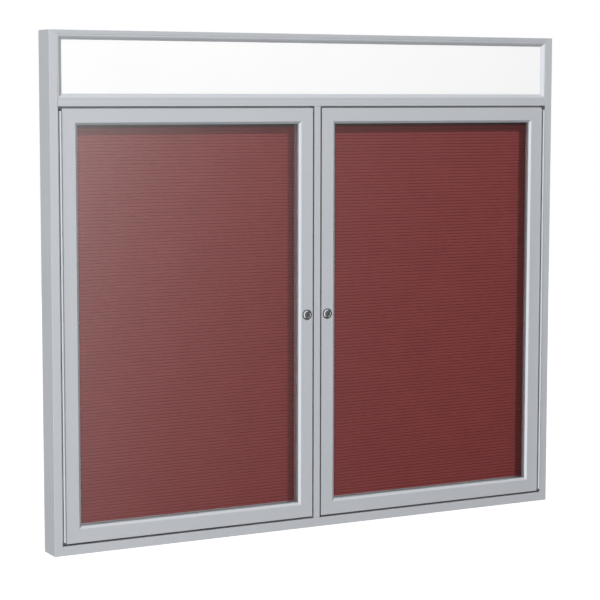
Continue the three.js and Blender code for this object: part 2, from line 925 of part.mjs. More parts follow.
function addDoor(side, hand) {
  const door = new THREE.Group();
  door.position.set(-hand * (middle - axisAcross), axisDepth, doorBottom);
  cabinet.add(door);
  addDoorFrame(door, side, hand);
  addPane(door, side, hand);
  addDoorKeys(door, side, hand);
  addDoorLeaf(door, side, hand);
  addLockBody(door, side, hand);

  const lock = new THREE.Group();
  lock.position.set(hand * (lockAcross - axisAcross), -axisDepth, lockHeight - doorBottom);
  door.add(lock);
  addLockTurningPieces(lock, side, hand);
}

addFrame();
addTransom();
addMullion();
addHeader();
addBack();
addLetterPanels();
addCabinetKeys();
for (const [side, hand] of sides) {
  addSeal(side, hand);
  addFixedHinge(side, hand);
  addDoor(side, hand);
}

export default board;
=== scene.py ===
import math

import bpy
import numpy as np
from mathutils import Matrix, Vector


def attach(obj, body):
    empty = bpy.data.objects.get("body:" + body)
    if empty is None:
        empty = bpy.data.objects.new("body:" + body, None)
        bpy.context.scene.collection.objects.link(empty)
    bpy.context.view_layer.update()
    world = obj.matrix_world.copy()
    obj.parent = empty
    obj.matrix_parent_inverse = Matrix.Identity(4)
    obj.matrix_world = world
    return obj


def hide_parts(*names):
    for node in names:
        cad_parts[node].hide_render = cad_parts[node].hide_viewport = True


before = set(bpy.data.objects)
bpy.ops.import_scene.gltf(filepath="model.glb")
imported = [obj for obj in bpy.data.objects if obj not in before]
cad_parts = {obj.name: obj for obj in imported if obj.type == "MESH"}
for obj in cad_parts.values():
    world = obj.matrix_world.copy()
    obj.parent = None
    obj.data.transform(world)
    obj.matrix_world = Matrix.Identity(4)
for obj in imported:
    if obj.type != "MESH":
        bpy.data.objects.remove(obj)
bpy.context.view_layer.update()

# A lockable letter board that hangs on a wall. Sizes are in millimetres. Most are those of the part, and
# some differ from it by a little, where the photograph or a finer shape asks for it. A place is written as
# (across, depth, height), as in the part: across runs from the side edge of the cabinet towards its middle,
# depth from the front faces towards the wall, and height from the bottom.

METRE = 1000.0

BOARD_WIDTH = 1219.2
BOARD_HEIGHT = 1066.8
BOARD_DEPTH = 57.15
MIDDLE = BOARD_WIDTH / 2
SEAT_GAP = 0.3
MITRE_GAP = 0.03

FRAME_WALL = 1.8
FRAME_FACE = 17.5
BOTTOM_FACE = 19.5
TOP_FACE = 8.8
TOP_FALL = 0.9
STOP_LIP = 14.5
STOP_FRONT = 18.5
STOP_BACK = STOP_FRONT + FRAME_WALL
STOP_REACH = FRAME_FACE + STOP_LIP
BOTTOM_MITRE = BOTTOM_FACE / FRAME_FACE
BOTTOM_STOP_REACH = STOP_REACH * BOTTOM_MITRE
REBATE_REACH = 16.0
SHEET_FRONT = 55.95
REBATE_BACK = SHEET_FRONT - SEAT_GAP
REBATE_FRONT = REBATE_BACK - FRAME_WALL

HEADER_HEIGHT = 152.4
TRANSOM_FACE = 15.2
BEAD_LAND = 1.8
BEAD_SLOPE = 8.2
BEAD_DROP = 5.0
BEAD_LIP = 0.2
BEAD_PLAY = 0.02
BEAD_EASE = 0.1
BEAD_OUTER_WALL = 0.4
PANEL_FRONT = BEAD_DROP + BEAD_LIP + SEAT_GAP
LEDGE = 7.0
HEADER_PANEL_THICKNESS = 3.0
LEDGE_FRONT = PANEL_FRONT + HEADER_PANEL_THICKNESS + SEAT_GAP
LEDGE_BACK = LEDGE_FRONT + FRAME_WALL
TRANSOM_BOTTOM = BOARD_HEIGHT - HEADER_HEIGHT
TRANSOM_TOP = TRANSOM_BOTTOM + TRANSOM_FACE
OPENING_TOP = TRANSOM_BOTTOM - STOP_LIP

MULLION_HALF = 7.5
MULLION_LIP = 7.0
SPINE_HALF = 4.0
DIVIDER_HALF = 37.0
DIVIDER_FRONT = 27.97
DIVIDER_BACK = 38.05
DIVIDER_WALL = 1.5
TRIM_FRONT = 36.55
FOOT_REACH = 17.8
HEAD_REACH = 25.4

DOOR_THICKNESS = 16.5
DOOR_OUTER = 26.2
DOOR_INNER = 598.6
DOOR_BOTTOM = 23.7
DOOR_TOP = 910.2
DOOR_FACE = 28.4
DOOR_BEVEL = 5.2
DOOR_BEVEL_DROP = 3.4
MEMBER_WIDTH = DOOR_FACE + DOOR_BEVEL
PANE_FRONT = 7.0
PANE_BACK = 10.0
PANE_ARRIS = 0.3
PANE_COVER = 6.0
PANE_INSET = MEMBER_WIDTH - PANE_COVER
PANE_PLAY = 0.05
GASKET_FRONT = 5.7
GASKET_BACK = 11.3
GASKET_COVER = 8.0
GASKET_INSET = MEMBER_WIDTH - GASKET_COVER
GASKET_GROOVE_FLOOR = GASKET_INSET - SEAT_GAP
SEAL_WIDTH = 2.6

AXIS_ACROSS = 21.85
AXIS_DEPTH = -2.4
BARREL_RADIUS = 2.5
PIN_BORE = 1.5
LEAF_THICKNESS = 1.0
PLATE_FRONT = 0.4
LEAF_FRONT = 8.0
LEAF_BACK = 15.5
HINGE_END_GAP = 4.5
HINGE_BOTTOM = DOOR_BOTTOM + HINGE_END_GAP
HINGE_TOP = DOOR_TOP - HINGE_END_GAP
KNUCKLES = 18
KNUCKLE_GAP = 0.4

SCREW_PROUD = 0.05
HINGE_SCREWS = 8
HINGE_SCREW_INSET = 24.0
HINGE_SCREW_DEPTH = 12.2
HINGE_SCREW_RADIUS = 2.3
REAR_SCREWS_ACROSS = 9
REAR_SCREWS_UP = 8
REAR_SCREW_INSET = 9.0
REAR_SCREW_RADIUS = 3.0

LOCK_ACROSS = 584.7
LOCK_HEIGHT = (DOOR_BOTTOM + DOOR_TOP) / 2
LOCK_BARREL_RADIUS = 8.0
LOCK_BARREL_BACK = 20.7
LOCK_HOLE_RADIUS = 8.3
PLUG_RADIUS = 5.6
PLUG_BORE = 5.95
KEY_SLOT_HALVES = (3.7, 0.9)
KEY_SLOT_FLOOR = 1.1
NUT_FLATS = 19.0
NUT_BORE = 8.05
NUT_FRONT = 16.8
NUT_BACK = 19.8
TAIL_SIDE = 5.6
TAIL_FRONT = 20.0
TAIL_BACK = 23.0
CAM_FRONT = 21.0
CAM_THICKNESS = 2.0
CAM_HALF = 7.0
CAM_TIP_GAP = 1.9

LETTER_FRONT = 38.35
LETTER_BACK = 44.35
PANEL_OUTER = 34.0
PANEL_JOINT_HALF = 1.0
PANEL_CLEARANCE = 2.0
PANEL_INNER = MIDDLE - PANEL_JOINT_HALF
PANEL_BOTTOM = BOTTOM_STOP_REACH + PANEL_CLEARANCE
PANEL_TOP = OPENING_TOP - PANEL_CLEARANCE
GROOVE_PITCH = 6.75
GROOVE_MOUTH = 2.0
GROOVE_FLOOR_WIDTH = 1.2
GROOVE_DEPTH = 1.9
FIXING_INSET = 14.0
FIXING_RADIUS = 3.25
OVERRUN = 5

SIDES = (("left", 1), ("right", -1))


# Meshes


def to_row(places, hand):
    """Places in (across, depth, height) as metres in the row's frame: x is the distance from the middle,
    turned over for the right-hand side, y is depth less the cabinet's depth, and z is height less half."""
    places = np.asarray(places, float)
    return np.stack(
        [
            hand * (places[..., 0] - MIDDLE),
            places[..., 1] - BOARD_DEPTH,
            places[..., 2] - BOARD_HEIGHT / 2,
        ],
        axis=-1,
    ) / METRE


def volume(points, faces):
    """Six times the signed volume of a closed mesh: the sum over every face's fan of triangles of the
    triple product of its corners."""
    total = 0.0
    for face in faces:
        fan = points[np.asarray(face)]
        total += np.einsum("ij,ij->", np.cross(fan[1:-1], fan[2:]), np.broadcast_to(fan[0], fan[1:-1].shape))
    return total


def even_shading(piece):
    """Sets each corner's normal to the mean of its faces' normals, in which large faces count most, so that
    they look flat up to the eased edges beside them."""
    shading = piece.modifiers.new("even_shading", "WEIGHTED_NORMAL")
    shading.keep_sharp = True
    shading.weight = 80


def add_piece(name, shells, material, body, hand=1, nodes=(), smooth=50.0):
    """One mesh object from closed shells of (places, faces). Each shell is turned so that its faces point
    outwards, edges sharper than the angle stay sharp, and the large faces keep their own normal up to the
    eased edges beside them."""
    points, faces, start = [], [], 0
    for places, shell_faces in shells:
        at = to_row(places, hand)
        shell_faces = [list(f) for f in shell_faces]
        if volume(at, shell_faces) < 0:
            shell_faces = [f[::-1] for f in shell_faces]
        points.append(at)
        faces += [[start + i for i in f] for f in shell_faces]
        start += len(at)
    mesh = bpy.data.meshes.new(name)
    mesh.from_pydata(np.concatenate(points).tolist(), [], faces)
    mesh.validate()
    mesh.shade_smooth()
    mesh.set_sharp_from_angle(angle=math.radians(smooth))
    mesh.materials.append(material)
    piece = bpy.data.objects.new(name, mesh)
    bpy.context.scene.collection.objects.link(piece)
    even_shading(piece)
    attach(piece, body)
    if nodes:
        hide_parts(*nodes)
    return piece


def rounded(outline, radius=0.6, steps=4):
    """A closed outline with each corner eased: the corner B becomes the curve (1-t)^2 A + 2t(1-t) B + t^2 C,
    where A and C lie on its two edges at the radius, or at under half of the shorter edge."""
    corners = np.asarray(outline, float)
    to_last = np.roll(corners, 1, axis=0) - corners
    to_next = np.roll(corners, -1, axis=0) - corners
    last_length = np.linalg.norm(to_last, axis=1, keepdims=True)
    next_length = np.linalg.norm(to_next, axis=1, keepdims=True)
    reach = np.minimum(radius, 0.42 * np.minimum(last_length, next_length))
    a = corners + to_last / last_length * reach
    c = corners + to_next / next_length * reach
    t = np.linspace(0, 1, steps)[None, :, None]
    curve = (1 - t) ** 2 * a[:, None] + 2 * t * (1 - t) * corners[:, None] + t**2 * c[:, None]
    return curve.reshape(-1, 2)


def ring_faces(rows, columns, closed=False):
    """Quads between neighbouring rows of a grid whose rows are closed loops. The last row also joins the
    first where the grid is closed."""
    i = np.arange(rows if closed else rows - 1)[:, None]
    j = np.arange(columns)[None, :]
    a = i * columns + j
    b = i * columns + (j + 1) % columns
    c = ((i + 1) % rows) * columns + (j + 1) % columns
    d = ((i + 1) % rows) * columns + j
    return np.stack([a, b, c, d], axis=-1).reshape(-1, 4).tolist()


def capped_rings(rows, columns):
    """The quads of ring_faces between rows of closed loops, and a flat face over the first and the last."""
    last = (rows - 1) * columns
    ends = [list(range(columns))[::-1], list(range(last, last + columns))]
    return ring_faces(rows, columns) + ends


def bar(outline, start, end, start_lean=0.0, end_lean=0.0):
    """A straight bar: the outline (inward, depth) stands at start + lean * inward and at end - lean *
    inward, and flat ends close it. Returned as (inward, depth, along)."""
    outline = np.asarray(outline, float)
    along = np.stack([start + start_lean * outline[:, 0], end - end_lean * outline[:, 0]])
    section = np.broadcast_to(outline, (2, *outline.shape))
    places = np.concatenate([section, along[..., None]], axis=-1).reshape(-1, 3)
    return places, capped_rings(2, len(outline))


def upright(outline, edge, bottom, top, bottom_lean=0.0, top_lean=0.0, inward=1):
    """A bar that runs up from bottom to top, with its outline's inward side facing the middle, or the side
    edge with inward = -1."""
    places, faces = bar(outline, bottom, top, bottom_lean, top_lean)
    return places * (inward, 1, 1) + (edge, 0, 0), faces


def level(outline, edge, rise, start, end, start_lean=0.0, end_lean=0.0):
    """A bar that runs across from start to end, with its outline's inward side facing up, or down with
    rise = -1."""
    places, faces = bar(outline, start, end, start_lean, end_lean)
    return np.stack([places[:, 2], places[:, 1], edge + rise * places[:, 0]], axis=-1), faces


def mitred_ring(outline, across0, across1, height0, height1):
    """The outline (inward, depth) carried round a rectangle: at each corner it stands along the diagonal,
    which mitres it, and the last side joins the first."""
    outline = np.asarray(outline, float)
    corners = np.array([(across0, height0), (across1, height0), (across1, height1), (across0, height1)])
    inward = np.array([(1, 1), (-1, 1), (-1, -1), (1, -1)], float)
    flat = corners[:, None] + inward[:, None] * outline[None, :, :1]
    depth = np.broadcast_to(outline[None, :, 1:], (4, len(outline), 1))
    places = np.concatenate([flat[..., :1], depth, flat[..., 1:]], axis=-1).reshape(-1, 3)
    return places, ring_faces(4, len(outline), closed=True)


def turned(profile, across, height, sides=48, hollow=False):
    """A profile (radius, depth) turned about an axis from front to back: across + r cos a, height + r sin a.
    Flat discs close its first and last circle, or these are joined where the piece is a hollow ring."""
    profile = np.asarray(profile, float)
    angle = np.arange(sides) * 2 * np.pi / sides
    r, d = profile[:, :1], profile[:, 1:]
    deep = np.broadcast_to(d, (len(profile), sides))
    places = np.stack([across + r * np.cos(angle), deep, height + r * np.sin(angle)], axis=-1).reshape(-1, 3)
    if hollow:
        return places, ring_faces(len(profile), sides, closed=True)
    return places, capped_rings(len(profile), sides)


def plate(outline, front, back, edge=0.25):
    """A flat plate with eased edges: the outline (across, height) at the front and back faces is drawn in
    towards its middle by the edge, and between them it has its full size."""
    outline = np.asarray(outline, float)
    centre = outline.mean(axis=0)
    away = outline - centre
    inner = outline - away / np.linalg.norm(away, axis=1, keepdims=True) * edge
    rows = [(inner, front), (outline, front + edge), (outline, back - edge), (inner, back)]
    places = np.concatenate([np.stack([o[:, 0], np.full(len(o), d), o[:, 1]], axis=-1) for o, d in rows])
    return places, capped_rings(len(rows), len(outline))


def screw_heads(spots, radius, face, sideways, upwards):
    """Countersunk heads with a cross recess, one at each (across, depth, height). A ring is r (cos a, sin a),
    and the recess is r (1 - 0.62 sin^2 2a). The rings go from the floor of the recess up to the flat face,
    out over it and down the cone. face, sideways and upwards are the head's own directions."""
    sides = 24
    a = np.arange(sides) * 2 * np.pi / sides
    circle = np.stack([np.cos(a), np.sin(a)], axis=-1)
    lobes = circle * (1 - 0.62 * np.sin(2 * a) ** 2)[:, None]
    rows = (
        (0.14 * lobes, -0.4),
        (0.5 * lobes, -0.36),
        (0.58 * lobes, -0.03),
        (0.7 * circle, 0.0),
        (0.93 * circle, 0.0),
        (1.0 * circle, -0.05),
        (0.5 * circle, -0.5),
    )
    basis = np.array([sideways, upwards, face], float)
    rings = [np.column_stack([flat, np.full(sides, rise)]) for flat, rise in rows]
    shape = np.concatenate(rings) * radius @ basis
    faces = capped_rings(len(rows), sides)
    return [(shape + np.asarray(spot, float), faces) for spot in spots]


# Finishes


def linear(r, g, b):
    """A colour seen as (r, g, b) of 255, as the light that it stands for."""
    value = np.array([r, g, b], float) / 255
    light = np.where(value <= 0.04045, value / 12.92, ((value + 0.055) / 1.055) ** 2.4)
    return (*[float(v) for v in light], 1.0)


class Finish:
    """A node material on Object coordinates, with one Principled shader."""

    def __init__(self, name):
        self.material = bpy.data.materials.new(name)
        self.material.use_nodes = True
        self.tree = self.material.node_tree
        self.shader = self.tree.nodes["Principled BSDF"]
        self.output = self.tree.nodes["Material Output"]
        self.object = self.add("ShaderNodeTexCoord").outputs["Object"]

    def add(self, kind, **settings):
        node = self.tree.nodes.new(kind)
        for key, value in settings.items():
            setattr(node, key, value)
        return node

    def join(self, out, into):
        self.tree.links.new(out, into)

    def set(self, **values):
        for key, value in values.items():
            self.shader.inputs[key.replace("_", " ")].default_value = value

    def stretched(self, scale):
        node = self.add("ShaderNodeMapping")
        node.inputs["Scale"].default_value = scale
        self.join(self.object, node.inputs["Vector"])
        return node.outputs["Vector"]

    def noise(self, vector, scale, detail=2.0, roughness=0.5):
        node = self.add("ShaderNodeTexNoise")
        node.inputs["Scale"].default_value = scale
        node.inputs["Detail"].default_value = detail
        node.inputs["Roughness"].default_value = roughness
        self.join(vector, node.inputs["Vector"])
        return node.outputs["Fac"]

    def spread(self, value, low, high):
        node = self.add("ShaderNodeMapRange")
        node.inputs["To Min"].default_value = low
        node.inputs["To Max"].default_value = high
        self.join(value, node.inputs["Value"])
        return node.outputs["Result"]

    def blend(self, value, first, second):
        node = self.add("ShaderNodeMix", data_type="RGBA")
        self.join(value, node.inputs["Factor"])
        node.inputs["A"].default_value = first
        node.inputs["B"].default_value = second
        return next(o for o in node.outputs if o.type == "RGBA")

    def bump(self, height, strength, distance, under=None):
        node = self.add("ShaderNodeBump")
        node.inputs["Strength"].default_value = strength
        node.inputs["Distance"].default_value = distance
        self.join(height, node.inputs["Height"])
        if under is not None:
            self.join(under, node.inputs["Normal"])
        return node.outputs["Normal"]


def satin_aluminium(name, along, tone=(199, 202, 207)):
    """Satin anodised aluminium: a third of its light is scattered by the etched oxide. Faint die lines run
    along the extrusion, the etch varies the shine over a few centimetres, and its fine grain gives a
    slight bump."""
    f = Finish(name)
    scale = [900.0, 900.0, 900.0]
    scale["xyz".index(along)] = 3.0
    lines = f.noise(f.stretched(scale), 1.0, 3.0)
    cloud = f.noise(f.object, 9.0, 3.0)
    grain = f.noise(f.object, 1400.0, 1.0)
    tone_low = linear(*(c - 4 for c in tone))
    f.join(f.blend(cloud, tone_low, linear(*tone)), f.shader.inputs["Base Color"])
    f.join(f.spread(cloud, 0.55, 0.61), f.shader.inputs["Roughness"])
    fine = f.bump(grain, 0.05, 0.0002)
    f.join(f.bump(lines, 0.04, 0.0002, fine), f.shader.inputs["Normal"])
    f.set(Metallic=0.65, Specular_IOR_Level=0.4)
    return f.material


def mill_aluminium(name):
    """Mill finish sheet: rolling streaks across the width and a dull, uneven shine. Half of its light is
    scattered."""
    f = Finish(name)
    streaks = f.noise(f.stretched((2.0, 60.0, 420.0)), 1.0, 4.0)
    cloud = f.noise(f.object, 5.0, 4.0)
    f.join(f.blend(streaks, linear(172, 175, 178), linear(202, 204, 206)), f.shader.inputs["Base Color"])
    f.join(f.spread(cloud, 0.36, 0.55), f.shader.inputs["Roughness"])
    f.join(f.bump(streaks, 0.08, 0.0003), f.shader.inputs["Normal"])
    f.set(Metallic=0.5)
    return f.material


def burgundy_felt():
    """Felt: a short nap that varies in depth of colour over millimetres and centimetres, with single
    fibres as a fine bump and a trace of sheen at a low angle."""
    f = Finish("burgundy_felt")
    nap = f.noise(f.object, 520.0, 4.0, 0.65)
    patch = f.noise(f.object, 16.0, 3.0)
    mixed = f.add("ShaderNodeMath", operation="MULTIPLY_ADD")
    mixed.inputs[1].default_value = 0.72
    f.join(nap, mixed.inputs[0])
    faint = f.add("ShaderNodeMath", operation="MULTIPLY")
    faint.inputs[1].default_value = 0.28
    f.join(patch, faint.inputs[0])
    f.join(faint.outputs[0], mixed.inputs[2])
    f.join(
        f.blend(mixed.outputs[0], linear(132, 54, 54), linear(164, 77, 77)),
        f.shader.inputs["Base Color"],
    )
    f.join(f.bump(nap, 0.2, 0.0003), f.shader.inputs["Normal"])
    f.set(Roughness=0.95, Sheen_Weight=0.01, Sheen_Roughness=0.5, Specular_IOR_Level=0.05)
    return f.material


def white_panel():
    """White coated sheet: the coat's very slight orange peel and a soft shine."""
    f = Finish("white_coated_sheet")
    peel = f.noise(f.object, 260.0, 2.0)
    cloud = f.noise(f.object, 6.0, 2.0)
    f.join(f.blend(cloud, linear(250, 250, 250), linear(254, 254, 254)), f.shader.inputs["Base Color"])
    f.join(f.spread(peel, 0.42, 0.5), f.shader.inputs["Roughness"])
    f.join(f.bump(peel, 0.04, 0.0002), f.shader.inputs["Normal"])
    return f.material


def clear_pane():
    """Clear sheet that mirrors a little of the room and lets lamps through. Its tint varies slightly over
    the sheet, by less than the eye sees at once."""
    f = Finish("clear_pane")
    cloud = f.noise(f.object, 3.0, 1.0)
    f.join(f.blend(cloud, (0.965, 0.98, 0.98, 1.0), (0.98, 0.99, 0.99, 1.0)), f.shader.inputs["Base Color"])
    f.set(Roughness=0.0, IOR=1.52, Transmission_Weight=1.0)
    clear = f.add("ShaderNodeBsdfTransparent")
    clear.inputs["Color"].default_value = (0.94, 0.95, 0.95, 1.0)
    path = f.add("ShaderNodeLightPath")
    mix = f.add("ShaderNodeMixShader")
    f.join(path.outputs["Is Shadow Ray"], mix.inputs["Fac"])
    f.join(f.shader.outputs["BSDF"], mix.inputs[1])
    f.join(clear.outputs["BSDF"], mix.inputs[2])
    f.join(mix.outputs["Shader"], f.output.inputs["Surface"])
    return f.material


def bright_metal(name, low, high, rough_low, rough_high, metallic=1.0):
    """Plated or satin metal: small marks vary its colour and shine."""
    f = Finish(name)
    marks = f.noise(f.object, 330.0, 4.0)
    f.join(f.blend(marks, linear(*low), linear(*high)), f.shader.inputs["Base Color"])
    f.join(f.spread(marks, rough_low, rough_high), f.shader.inputs["Roughness"])
    f.join(f.bump(marks, 0.04, 0.0002), f.shader.inputs["Normal"])
    f.set(Metallic=metallic)
    return f.material


def dull_soft(name, low, high, scale, depth):
    """Foam, vinyl or board: a matt surface with fine pores or fibres."""
    f = Finish(name)
    pores = f.noise(f.object, scale, 4.0, 0.7)
    f.join(f.blend(pores, linear(*low), linear(*high)), f.shader.inputs["Base Color"])
    f.join(f.bump(pores, 0.4, depth), f.shader.inputs["Normal"])
    f.set(Roughness=0.85, Specular_IOR_Level=0.25)
    return f.material


upright_satin = satin_aluminium("satin_aluminium_upright", "z")
level_satin = satin_aluminium("satin_aluminium_level", "x")
# The divider strip is the same satin aluminium with a lighter tone, (240, 236, 240): painted light, which
# makes it brighter than the lamps alone make it in the shaded bay.
lightened_divider_satin = satin_aluminium("satin_aluminium_painted_light", "z", (240, 236, 240))
felt = burgundy_felt()
header_white = white_panel()
pane_clear = clear_pane()
sheet_metal = mill_aluminium("mill_aluminium_sheet")
hinge_steel = bright_metal("satin_hinge_steel", (188, 191, 196), (202, 205, 209), 0.5, 0.6, 0.6)
lock_nickel = bright_metal("bright_nickel", (156, 157, 161), (176, 177, 180), 0.2, 0.28)
plug_nickel = bright_metal("dull_nickel", (98, 99, 102), (130, 130, 133), 0.26, 0.36)
zinc_plate = bright_metal("zinc_plate", (168, 168, 160), (204, 203, 192), 0.28, 0.46)
cast_key = bright_metal("cast_alloy", (140, 142, 145), (176, 178, 180), 0.45, 0.65)
seal_foam = dull_soft("seal_foam", (26, 26, 28), (58, 58, 60), 900.0, 0.0005)
# Dark fibre for the washer under each lock head: a real sealing washer's colour, and also painted shade for
# the dark gap round the head's rim.
dark_washer_and_shade = dull_soft("washer_fibre_and_painted_shade", (40, 40, 42), (58, 58, 61), 700.0, 0.0002)
gasket_vinyl = dull_soft("gasket_vinyl", (204, 216, 222), (220, 230, 235), 300.0, 0.0001)
# Dark grey vinyl for the panels' head strips: painted shade, which stands for the deep shadow along the
# felt's top edge under the doors' top rails.
head_strip_painted_shade = dull_soft("head_strip_painted_shade", (108, 98, 101), (126, 116, 119), 300.0, 0.0001)
core_fibre = dull_soft("fibreboard", (112, 84, 54), (164, 128, 88), 420.0, 0.0006)


# Cabinet frame

REAR_FLANGE = [
    (FRAME_WALL, REBATE_FRONT),
    (REBATE_REACH, REBATE_FRONT),
    (REBATE_REACH, REBATE_BACK),
    (FRAME_WALL, REBATE_BACK),
    (FRAME_WALL, BOARD_DEPTH),
    (0, BOARD_DEPTH),
]


def frame_outline(face, reach):
    """The case's profile seen from its end, open inside: the outer wall, the front face, the web back to the
    door stop, whose lip goes in to the reach, and the flange for the back sheet."""
    return rounded(
        [
            (0, 0),
            (face, 0),
            (face, STOP_FRONT),
            (reach, STOP_FRONT),
            (reach, STOP_BACK),
            (face - FRAME_WALL, STOP_BACK),
            (face - FRAME_WALL, FRAME_WALL),
            (FRAME_WALL, FRAME_WALL),
            *REAR_FLANGE,
        ]
    )


TOP_OUTLINE = rounded(
    [
        (0, 0),
        (TOP_FACE, TOP_FALL),
        (TOP_FACE, LEDGE_FRONT),
        (TOP_FACE + LEDGE, LEDGE_FRONT),
        (TOP_FACE + LEDGE, LEDGE_BACK),
        (TOP_FACE - FRAME_WALL, LEDGE_BACK),
        (TOP_FACE - FRAME_WALL, FRAME_WALL),
        (FRAME_WALL, FRAME_WALL),
        *REAR_FLANGE,
    ]
)
TOP_MITRE = TOP_FACE / FRAME_FACE

for side, hand in SIDES:
    add_piece(
        f"{side}_stile_extrusion",
        [
            upright(
                frame_outline(FRAME_FACE, STOP_REACH),
                0,
                MITRE_GAP,
                BOARD_HEIGHT - MITRE_GAP,
                BOTTOM_MITRE,
                TOP_MITRE,
            )
        ],
        upright_satin,
        "cabinet",
        hand,
        [f"{side}_stile"],
    )
add_piece(
    "bottom_rail_extrusion",
    [
        level(
            frame_outline(BOTTOM_FACE, BOTTOM_STOP_REACH),
            0,
            1,
            MITRE_GAP,
            BOARD_WIDTH - MITRE_GAP,
            1 / BOTTOM_MITRE,
            1 / BOTTOM_MITRE,
        )
    ],
    level_satin,
    "cabinet",
    1,
    ["bottom_rail"],
)
add_piece(
    "top_rail_extrusion",
    [
        level(
            TOP_OUTLINE,
            BOARD_HEIGHT,
            -1,
            MITRE_GAP,
            BOARD_WIDTH - MITRE_GAP,
            1 / TOP_MITRE,
            1 / TOP_MITRE,
        )
    ],
    level_satin,
    "cabinet",
    1,
    ["top_rail"],
)

# The transom is three shells along one line: its front, which carries the header's ledge, and between the
# stiles' own stops the door stop, and the web towards the back.
transom_front = rounded(
    [
        (0, 0),
        (TRANSOM_FACE, 0),
        (TRANSOM_FACE, STOP_BACK),
        (TRANSOM_FACE - FRAME_WALL, STOP_BACK),
        (TRANSOM_FACE - FRAME_WALL, FRAME_WALL),
        (FRAME_WALL, FRAME_WALL),
        (FRAME_WALL, STOP_FRONT - SEAT_GAP),
        (0, STOP_FRONT - SEAT_GAP),
        (0, LEDGE_BACK),
        (-LEDGE, LEDGE_BACK),
        (-LEDGE, LEDGE_FRONT),
        (0, LEDGE_FRONT),
    ]
)
transom_stop = rounded(
    [
        (TRANSOM_FACE - FRAME_WALL, STOP_FRONT),
        (TRANSOM_FACE + STOP_LIP, STOP_FRONT),
        (TRANSOM_FACE + STOP_LIP, STOP_BACK),
        (TRANSOM_FACE - FRAME_WALL, STOP_BACK),
    ]
)
transom_web = rounded(
    [(0, STOP_BACK), (FRAME_WALL, STOP_BACK), (FRAME_WALL, REBATE_FRONT), (0, REBATE_FRONT)]
)
transom_start = FRAME_FACE + SEAT_GAP
stop_start = STOP_REACH + SEAT_GAP
add_piece(
    "transom_extrusion",
    [
        level(transom_front, TRANSOM_TOP, -1, transom_start, BOARD_WIDTH - transom_start),
        level(transom_stop, TRANSOM_TOP, -1, stop_start, BOARD_WIDTH - stop_start),
        level(transom_web, TRANSOM_TOP, -1, stop_start, BOARD_WIDTH - stop_start),
    ],
    level_satin,
    "cabinet",
    1,
    ["transom_rail"],
)

mullion_nose = rounded(
    [
        (-MULLION_HALF, 0),
        (MULLION_HALF, 0),
        (MULLION_HALF, STOP_BACK),
        (-MULLION_HALF, STOP_BACK),
    ]
)
mullion_stop = rounded(
    [
        (-MULLION_HALF - MULLION_LIP, STOP_FRONT),
        (MULLION_HALF + MULLION_LIP, STOP_FRONT),
        (MULLION_HALF + MULLION_LIP, STOP_BACK),
        (-MULLION_HALF - MULLION_LIP, STOP_BACK),
    ]
)
add_piece(
    "mullion_extrusion",
    [
        upright(mullion_nose, MIDDLE, BOTTOM_FACE + SEAT_GAP, TRANSOM_BOTTOM - SEAT_GAP),
        upright(mullion_stop, MIDDLE, BOTTOM_STOP_REACH + SEAT_GAP, OPENING_TOP - SEAT_GAP),
    ],
    upright_satin,
    "cabinet",
    1,
    ["centre_mullion"],
)
divider = rounded(
    [
        (-DIVIDER_HALF, DIVIDER_FRONT),
        (DIVIDER_HALF, DIVIDER_FRONT),
        (DIVIDER_HALF, DIVIDER_BACK),
        (DIVIDER_HALF - DIVIDER_WALL, DIVIDER_BACK),
        (DIVIDER_HALF - DIVIDER_WALL, DIVIDER_FRONT + DIVIDER_WALL),
        (-DIVIDER_HALF + DIVIDER_WALL, DIVIDER_FRONT + DIVIDER_WALL),
        (-DIVIDER_HALF + DIVIDER_WALL, DIVIDER_BACK),
        (-DIVIDER_HALF, DIVIDER_BACK),
    ]
)
# The divider strip carries the lightened satin aluminium, which is painted light.
add_piece(
    "divider_strip_extrusion",
    [upright(divider, MIDDLE, PANEL_BOTTOM, PANEL_TOP)],
    lightened_divider_satin,
    "cabinet",
    1,
    ["divider_strip"],
)

# Header


def bead_outline(front=0.0):
    """The moulding round the header: a flat land, then a face that falls away faster and faster, whose
    depth is front + (drop - front) s^1.5 at the share s of its width, and a thin lip at the panel."""
    share = np.linspace(0, 1, 13)
    depth = front + (BEAD_DROP - front) * share**1.5
    face = np.stack([BEAD_LAND + BEAD_SLOPE * share, depth], axis=-1)
    back = BEAD_DROP + BEAD_LIP
    outer = BEAD_PLAY - SEAT_GAP
    start = [(outer, front + BEAD_EASE), (outer + BEAD_EASE, front)]
    end = [(BEAD_LAND + BEAD_SLOPE, back), (0.0, back), (0.0, front + BEAD_OUTER_WALL)]
    return np.concatenate([start, face, end])


bead_outer = FRAME_FACE + SEAT_GAP
bead_bottom = TRANSOM_TOP + SEAT_GAP
bead_top = BOARD_HEIGHT - TOP_FACE - SEAT_GAP
bead_start = bead_outer + MITRE_GAP
bead_end = BOARD_WIDTH - bead_start
for name, edge, rise, front in (("top", bead_top, -1, TOP_FALL), ("bottom", bead_bottom, 1, 0.0)):
    add_piece(
        f"{name}_header_moulding",
        [level(bead_outline(front), edge, rise, bead_start, bead_end, 1, 1)],
        level_satin,
        "cabinet",
        1,
        [f"header_bead_{name}"],
    )
for side, hand in SIDES:
    add_piece(
        f"{side}_header_moulding",
        [upright(bead_outline(), bead_outer, bead_bottom + MITRE_GAP, bead_top - MITRE_GAP, 1, 1)],
        upright_satin,
        "cabinet",
        hand,
        [f"header_bead_{side}"],
    )

# Letter panels


